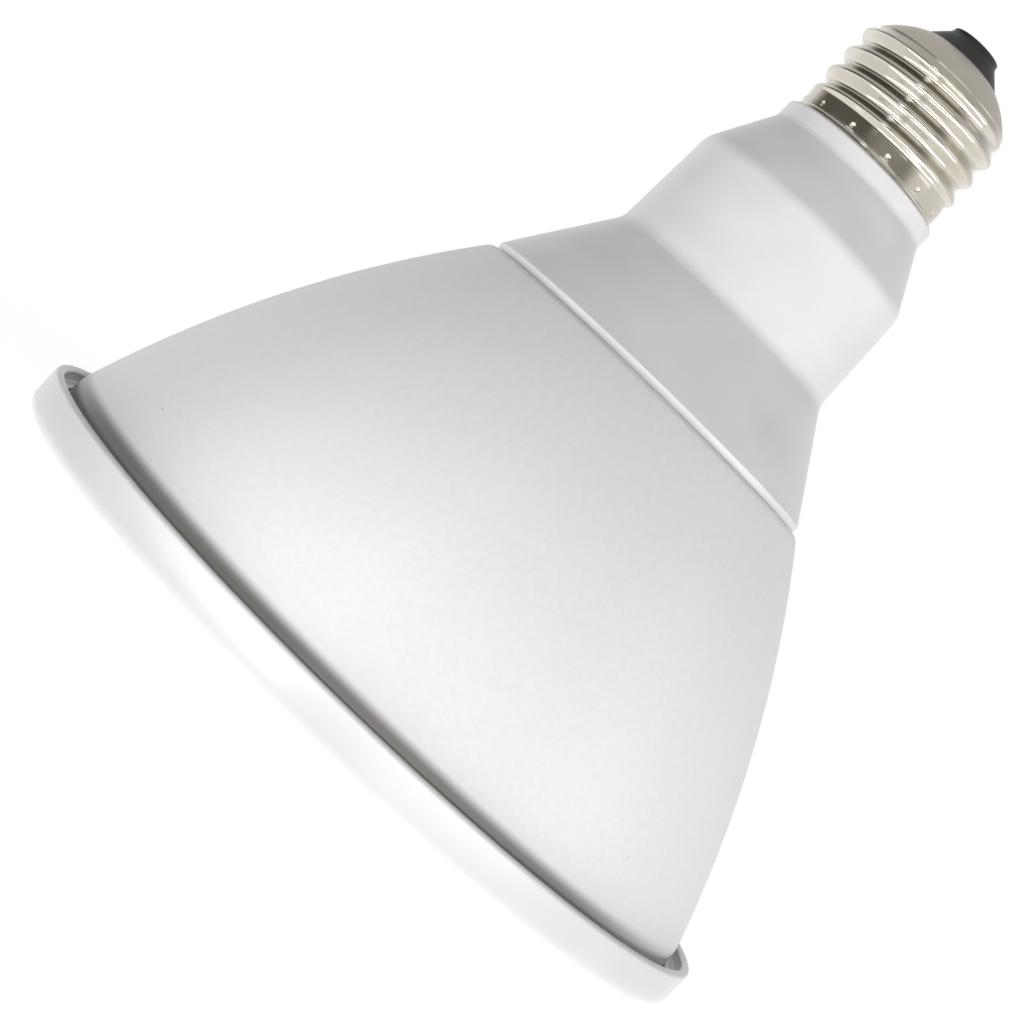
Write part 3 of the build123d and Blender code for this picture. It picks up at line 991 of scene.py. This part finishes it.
glow = add_node(tree, "ShaderNodeEmission", {}, {"Strength": glow_level.outputs["Result"]}, {})
add_node(
    tree,
    "ShaderNodeAddShader",
    {},
    {0: paper.outputs["BSDF"], 1: glow.outputs["Emission"]},
    {"Shader": tree.nodes["Material Output"].inputs["Surface"]},
)
floor_mesh = bpy.data.meshes.new("floor")
bm = bmesh.new()
bmesh.ops.create_circle(bm, cap_ends=True, segments=64, radius=3)
bm.to_mesh(floor_mesh)
bm.free()
floor_mesh.materials.append(floor_paper)
floor = bpy.data.objects.new("floor", floor_mesh)
bpy.context.scene.collection.objects.link(floor)

# The room is white for the camera and through the lens. Gloss shows its walls, each of which fades in
# as the view turns to its heading, and all else is lit by a weak even sky.
room = bpy.data.worlds.new("white_room")
bpy.context.scene.world = room
room.use_nodes = True
tree = room.node_tree
tree.nodes.clear()
path = add_node(tree, "ShaderNodeLightPath", {}, {}, {})
sight = add_node(tree, "ShaderNodeTexCoord", {}, {}, {})
shade = linear("#FFFFFF")
for heading, nearness, colour in (
    ((0.17, -0.98, 0), (0.5, 0.85), "#A09D98"),
    ((-0.94, -0.34, 0), (0.35, 0.8), "#67645E"),
    ((0, 0, 1), (0.3, 0.7), "#D2D2D2"),
):
    facing = add_node(
        tree,
        "ShaderNodeVectorMath",
        {"operation": "DOT_PRODUCT"},
        {0: sight.outputs["Generated"], 1: heading},
        {},
    )
    share = add_node(
        tree,
        "ShaderNodeMapRange",
        {"interpolation_type": "SMOOTHSTEP"},
        {"Value": facing.outputs["Value"], "From Min": nearness[0], "From Max": nearness[1]},
        {},
    )
    shade = add_node(
        tree,
        "ShaderNodeMix",
        {"data_type": "RGBA"},
        {MIX_SHARE: share.outputs["Result"], MIX_FIRST: shade, MIX_SECOND: linear(colour)},
        {},
    ).outputs[MIX_RESULT]
walls = add_node(tree, "ShaderNodeBackground", {}, {"Color": shade, "Strength": 0.95}, {})
sky = add_node(tree, "ShaderNodeBackground", {}, {"Color": linear("#FFFFFF"), "Strength": 0.15}, {})
white = add_node(tree, "ShaderNodeBackground", {}, {"Color": linear("#FFFFFF"), "Strength": 1.0}, {})
lit = add_node(
    tree,
    "ShaderNodeMixShader",
    {},
    {0: path.outputs["Is Glossy Ray"], 1: sky.outputs["Background"], 2: walls.outputs["Background"]},
    {},
)
seen = add_node(
    tree,
    "ShaderNodeMath",
    {"operation": "MAXIMUM"},
    {0: path.outputs["Is Camera Ray"], 1: path.outputs["Is Transmission Ray"]},
    {},
)
background = add_node(
    tree,
    "ShaderNodeMixShader",
    {},
    {0: seen.outputs["Value"], 1: lit.outputs["Shader"], 2: white.outputs["Background"]},
    {},
)
add_node(tree, "ShaderNodeOutputWorld", {}, {"Surface": background.outputs["Shader"]}, {})

for name, energy, size, spot, turn in (
    ("front_strip", 0.284, (0.5, 0.02), (0.12, -0.3, 0.012), (90, 0, 20)),
    ("high_spot", 0.15, (0.08, 0.4), (-0.17, -0.5, 0.42), (55.7, 0, -18.8)),
    ("high_fill", 0.35, (0.5, 0.4), (0.2, -0.6, 0.5), (55.2, 0, 18.4)),
    ("side_fill", 0.25, (0.4, 0.4), (0.7, -0.15, 0.5), (58.4, 0, 77.9)),
    ("floor_side", 0.574, (0.2, 0.3), (0.3, -0.15, 0.001), (180, 0, 0)),
    ("floor_right", 0.02, (0.16, 0.03), (0.09, -0.085, 0.001), (180, 0, 0)),
    ("floor_left", 0.055, (0.16, 0.03), (-0.09, -0.085, 0.001), (180, 0, 0)),
):
    panel = bpy.data.lights.new(name, "AREA")
    panel.shape = "RECTANGLE"
    panel.size, panel.size_y = size
    panel.energy = energy
    lamp = bpy.data.objects.new(name, panel)
    lamp.location = spot
    lamp.rotation_euler = [math.radians(angle) for angle in turn]
    lamp.visible_camera = False
    bpy.context.scene.collection.objects.link(lamp)

camera_data = bpy.data.cameras.new("camera")
camera_data.sensor_width = 36
camera_data.lens = 91.11
camera = bpy.data.objects.new("camera", camera_data)
camera.location = (0, -0.36457, 0.04566)
camera.rotation_euler = [math.radians(angle) for angle in (87.82, -44.075, 1.753)]
bpy.context.scene.collection.objects.link(camera)
bpy.context.scene.camera = camera
bpy.context.scene.view_settings.view_transform = "Standard"
